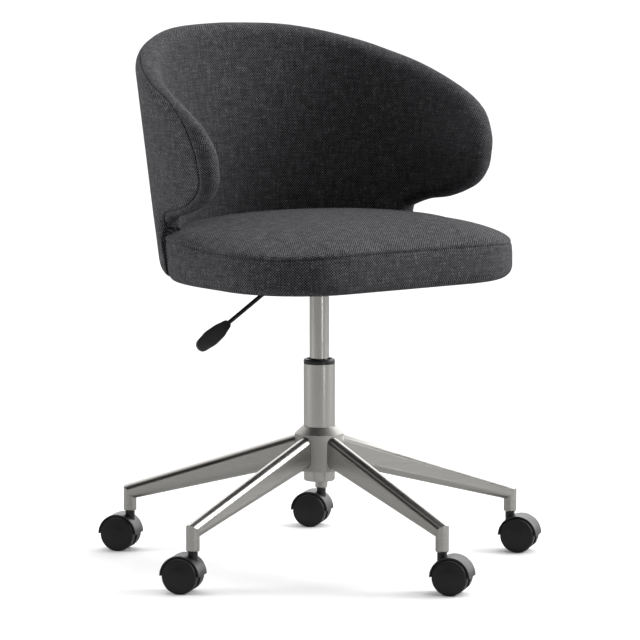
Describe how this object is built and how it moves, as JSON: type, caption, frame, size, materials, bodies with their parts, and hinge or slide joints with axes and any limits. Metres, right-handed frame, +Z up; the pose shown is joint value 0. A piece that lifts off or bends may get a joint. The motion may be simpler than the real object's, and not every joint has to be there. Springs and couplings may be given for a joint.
{
  "type": "upholstered swivel desk chair",
  "caption": "Tub-back upholstered desk chair on a gas lift with a metal star base and twin-wheel casters.",
  "frame": {"origin": "on the floor, on the axis of the gas-lift column", "axes": "+Z up the column, -Y towards the front of the seat, +X to the left hand of a person seated"},
  "size_m": [0.6338, 0.6214, 0.7631],
  "materials": {
    "brushed_nickel": "satin brushed nickel plating",
    "black_plastic": "satin black moulding",
    "wheel_plastic": "satin black tread and disc",
    "black_metal": "satin black powder coat",
    "bright_steel": "plain zinc-plated steel",
    "plywood": "bare birch plywood",
    "charcoal_fabric": "charcoal basket weave upholstery",
    "black_cloth": "black non-woven dust cover",
    "rubber": "black rubber"
  },
  "bodies": {
    "base": {"base_hub": "brushed_nickel", "arm_1": "brushed_nickel", "arm_2": "brushed_nickel", "arm_3": "brushed_nickel", "arm_4": "brushed_nickel", "arm_5": "brushed_nickel", "outer_tube": "brushed_nickel", "guide_bushing": "black_plastic", "top_ring": "black_plastic", "thrust_bearing": "bright_steel", "caster_sockets": "black_plastic"},
    "spindle": {"piston_rod": "bright_steel", "rod_clip": "bright_steel", "rubber_buffer": "rubber"},
    "seat": {"gas_cylinder": "brushed_nickel", "cylinder_gland": "black_metal", "taper_socket": "black_metal", "mechanism_plate": "black_metal", "lever_pivot_pin": "bright_steel", "plate_bolts": "bright_steel", "t_nuts": "bright_steel", "seat_pan": "plywood", "dust_cover": "black_cloth", "seat_cushion": "charcoal_fabric", "bracket_left": "black_metal", "bracket_rear": "black_metal", "bracket_right": "black_metal", "bracket_screws": "bright_steel", "shell_core": "plywood", "outer_panel": "charcoal_fabric", "inner_pad": "charcoal_fabric"},
    "release_pin": {"release_pin": "bright_steel"},
    "lever": {"lever_rod": "black_metal", "lever_handle": "black_plastic"},
    "caster_1": {"caster_housing_1": "black_plastic", "caster_stem_1": "bright_steel", "caster_axle_1": "bright_steel"},
    "wheel_a_1": {"wheel_a_1": "wheel_plastic"},
    "wheel_b_1": {"wheel_b_1": "wheel_plastic"},
    "caster_2": {"caster_housing_2": "black_plastic", "caster_stem_2": "bright_steel", "caster_axle_2": "bright_steel"},
    "wheel_a_2": {"wheel_a_2": "wheel_plastic"},
    "wheel_b_2": {"wheel_b_2": "wheel_plastic"},
    "caster_3": {"caster_housing_3": "black_plastic", "caster_stem_3": "bright_steel", "caster_axle_3": "bright_steel"},
    "wheel_a_3": {"wheel_a_3": "wheel_plastic"},
    "wheel_b_3": {"wheel_b_3": "wheel_plastic"},
    "caster_4": {"caster_housing_4": "black_plastic", "caster_stem_4": "bright_steel", "caster_axle_4": "bright_steel"},
    "wheel_a_4": {"wheel_a_4": "wheel_plastic"},
    "wheel_b_4": {"wheel_b_4": "wheel_plastic"},
    "caster_5": {"caster_housing_5": "black_plastic", "caster_stem_5": "bright_steel", "caster_axle_5": "bright_steel"},
    "wheel_a_5": {"wheel_a_5": "wheel_plastic"},
    "wheel_b_5": {"wheel_b_5": "wheel_plastic"}
  },
  "joints": [
    {"name": "seat_swivel", "type": "hinge", "parent": "base", "child": "spindle", "pos_m": [0, 0, 0.13], "axis": [0, 0, 1], "continuous": true},
    {"name": "lift", "type": "slide", "parent": "spindle", "child": "seat", "axis": [0, 0, 1], "range_m": [-0.08, 0.02]},
    {"name": "lever_pull", "type": "hinge", "parent": "seat", "child": "lever", "pos_m": [-0.045, 0, 0.4035], "axis": [0, 1, 0], "range_deg": [0, 3], "stiffness_Nm_per_rad": 12, "springref_deg": -2.86},
    {"name": "valve_press", "type": "slide", "parent": "seat", "child": "release_pin", "axis": [0, 0, 1], "range_m": [-0.0024, 0]},
    {"name": "caster_swivel_1", "type": "hinge", "parent": "base", "child": "caster_1", "pos_m": [0.27414, -0.09762, 0.06], "axis": [0, 0, 1], "continuous": true},
    {"name": "wheel_roll_a_1", "type": "hinge", "parent": "caster_1", "child": "wheel_a_1", "pos_m": [0.28286, -0.1092, 0.025], "axis": [0.7986, 0.6018, 0], "continuous": true},
    {"name": "wheel_roll_b_1", "type": "hinge", "parent": "caster_1", "child": "wheel_b_1", "pos_m": [0.28286, -0.1092, 0.025], "axis": [0.7986, 0.6018, 0], "continuous": true},
    {"name": "caster_swivel_2", "type": "hinge", "parent": "base", "child": "caster_2", "pos_m": [0.17755, 0.23056, 0.06], "axis": [0, 0, 1], "continuous": true},
    {"name": "wheel_roll_a_2", "type": "hinge", "parent": "caster_2", "child": "wheel_a_2", "pos_m": [0.16883, 0.24214, 0.025], "axis": [-0.7986, -0.6018, 0], "continuous": true},
    {"name": "wheel_roll_b_2", "type": "hinge", "parent": "caster_2", "child": "wheel_b_2", "pos_m": [0.16883, 0.24214, 0.025], "axis": [-0.7986, -0.6018, 0], "continuous": true},
    {"name": "caster_swivel_3", "type": "hinge", "parent": "base", "child": "caster_3", "pos_m": [-0.1644, 0.24011, 0.06], "axis": [0, 0, 1], "continuous": true},
    {"name": "wheel_roll_a_3", "type": "hinge", "parent": "caster_3", "child": "wheel_a_3", "pos_m": [-0.17313, 0.25169, 0.025], "axis": [-0.7986, -0.6018, 0], "continuous": true},
    {"name": "wheel_roll_b_3", "type": "hinge", "parent": "caster_3", "child": "wheel_b_3", "pos_m": [-0.17313, 0.25169, 0.025], "axis": [-0.7986, -0.6018, 0], "continuous": true},
    {"name": "caster_swivel_4", "type": "hinge", "parent": "base", "child": "caster_4", "pos_m": [-0.27916, -0.08216, 0.06], "axis": [0, 0, 1], "continuous": true},
    {"name": "wheel_roll_a_4", "type": "hinge", "parent": "caster_4", "child": "wheel_a_4", "pos_m": [-0.28789, -0.07058, 0.025], "axis": [-0.7986, -0.6018, 0], "continuous": true},
    {"name": "wheel_roll_b_4", "type": "hinge", "parent": "caster_4", "child": "wheel_b_4", "pos_m": [-0.28789, -0.07058, 0.025], "axis": [-0.7986, -0.6018, 0], "continuous": true},
    {"name": "caster_swivel_5", "type": "hinge", "parent": "base", "child": "caster_5", "pos_m": [-0.00813, -0.29089, 0.06], "axis": [0, 0, 1], "continuous": true},
    {"name": "wheel_roll_a_5", "type": "hinge", "parent": "caster_5", "child": "wheel_a_5", "pos_m": [0.0006, -0.30247, 0.025], "axis": [0.7986, 0.6018, 0], "continuous": true},
    {"name": "wheel_roll_b_5", "type": "hinge", "parent": "caster_5", "child": "wheel_b_5", "pos_m": [0.0006, -0.30247, 0.025], "axis": [0.7986, 0.6018, 0], "continuous": true}
  ],
  "couplings": [
    {"joint": "valve_press", "follows": "lever_pull", "m_per_rad": -0.045}
  ]
}
